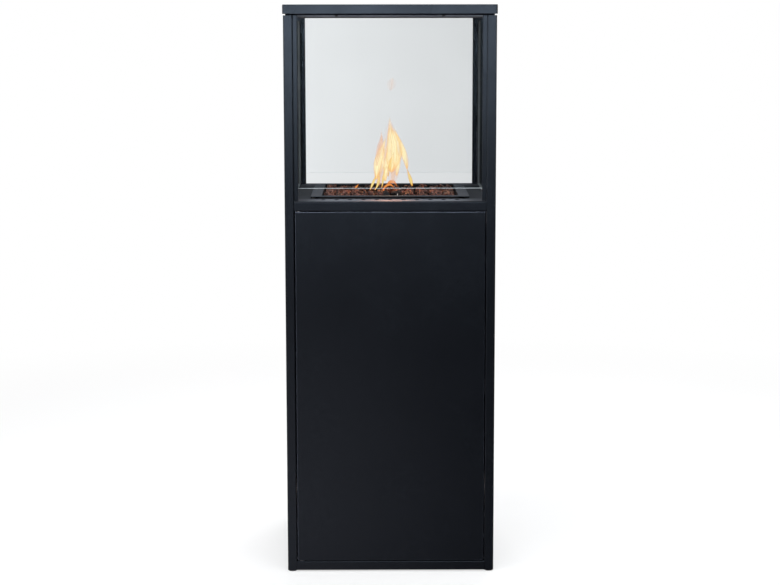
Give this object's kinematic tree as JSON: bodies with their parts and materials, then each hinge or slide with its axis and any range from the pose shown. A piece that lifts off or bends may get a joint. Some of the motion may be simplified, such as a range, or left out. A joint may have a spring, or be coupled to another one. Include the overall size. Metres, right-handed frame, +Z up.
{
  "type": "outdoor gas fire column",
  "caption": "Tall square column with a four-sided glass fire chamber over lava stones, a flat cap and a door that hides a gas bottle.",
  "frame": {"origin": "centre of the square footprint, on the floor under the levelling feet", "axes": "+Z up along the column's height, front with the door faces -Y, +X to the right seen from the front"},
  "size_m": [0.503, 0.503, 1.365],
  "materials": {
    "black_plastic": "matte black",
    "brass": "turned brass",
    "cast_alloy": "as-cast alloy",
    "deck_metal": "satin grey powder coat",
    "glass": "clear toughened glass",
    "lava": "rough porous reddish-brown lava",
    "painted_metal": "fine-textured powder coat, near black",
    "red_plastic": "glossy red",
    "rubber": "matte black",
    "stainless": "brushed sheet steel",
    "white_ceramic": "glazed white",
    "zinc_steel": "zinc-plated steel"
  },
  "bodies": {
    "root": {"post_front_left": "painted_metal", "post_front_right": "painted_metal", "post_back_left": "painted_metal", "post_back_right": "painted_metal", "foot_inserts": "black_plastic", "base_rails": "painted_metal", "deck_rails": "painted_metal", "top_rails": "painted_metal", "cap": "painted_metal", "cap_screws": "zinc_steel", "heat_shield": "stainless", "floor_plate": "zinc_steel", "side_panel_left": "painted_metal", "side_panel_right": "painted_metal", "back_panel": "painted_metal", "panel_screws": "zinc_steel", "inner_screws": "zinc_steel", "deck_plate": "deck_metal", "plate_spacers": "stainless", "burner_plate": "deck_metal", "burner_pan": "stainless", "burner_tube": "stainless", "rock_grate": "stainless", "lava_rocks": "lava", "injector": "brass", "gas_pipe": "brass", "pilot_bracket": "stainless", "pilot_burner": "brass", "spark_electrode": "white_ceramic", "pilot_pipe": "brass", "thermocouple": "stainless", "glass_front": "glass", "glass_back": "glass", "glass_left": "glass", "glass_right": "glass", "channels_front": "painted_metal", "channels_back": "painted_metal", "channels_left": "painted_metal", "channels_right": "painted_metal", "glass_gaskets": "rubber", "glass_rests": "rubber", "control_plate": "painted_metal", "gas_valve": "cast_alloy", "inlet_fitting": "brass", "igniter_body": "black_plastic", "hinge_pins": "zinc_steel", "latch_housing": "black_plastic"},
    "door": {"door": "painted_metal", "door_stiffeners": "zinc_steel", "door_bushes": "brass"},
    "valve_collar": {"valve_collar": "brass"},
    "knob": {"valve_stem": "stainless", "control_knob": "black_plastic"},
    "igniter_button": {"igniter_button": "red_plastic"},
    "latch_plunger": {"latch_plunger": "black_plastic"},
    "foot_front_left": {"foot_front_left": "black_plastic"},
    "foot_front_right": {"foot_front_right": "black_plastic"},
    "foot_back_left": {"foot_back_left": "black_plastic"},
    "foot_back_right": {"foot_back_right": "black_plastic"}
  },
  "joints": [
    {"name": "door_swing", "type": "hinge", "parent": "root", "child": "door", "pos_m": [-0.216, -0.243, 0.453], "axis": [0, 0, -1], "range_deg": [0, 110]},
    {"name": "valve_push", "type": "slide", "parent": "root", "child": "valve_collar", "axis": [0, 1, 0], "range_m": [0, 0.005], "stiffness_N_per_m": 1200},
    {"name": "knob_turn", "type": "hinge", "parent": "valve_collar", "child": "knob", "pos_m": [0.12, -0.21, 0.819], "axis": [0, -1, 0], "range_deg": [0, 200]},
    {"name": "igniter_push", "type": "slide", "parent": "root", "child": "igniter_button", "axis": [0, 1, 0], "range_m": [0, 0.006], "stiffness_N_per_m": 1500},
    {"name": "latch_push", "type": "slide", "parent": "root", "child": "latch_plunger", "axis": [0, 1, 0], "range_m": [0, 0.003], "stiffness_N_per_m": 800},
    {"name": "foot_front_left_turn", "type": "hinge", "parent": "root", "child": "foot_front_left", "pos_m": [-0.239, -0.239, 0], "axis": [0, 0, 1], "continuous": true},
    {"name": "foot_front_right_turn", "type": "hinge", "parent": "root", "child": "foot_front_right", "pos_m": [0.239, -0.239, 0], "axis": [0, 0, 1], "continuous": true},
    {"name": "foot_back_left_turn", "type": "hinge", "parent": "root", "child": "foot_back_left", "pos_m": [-0.239, 0.239, 0], "axis": [0, 0, 1], "continuous": true},
    {"name": "foot_back_right_turn", "type": "hinge", "parent": "root", "child": "foot_back_right", "pos_m": [0.239, 0.239, 0], "axis": [0, 0, 1], "continuous": true}
  ]
}
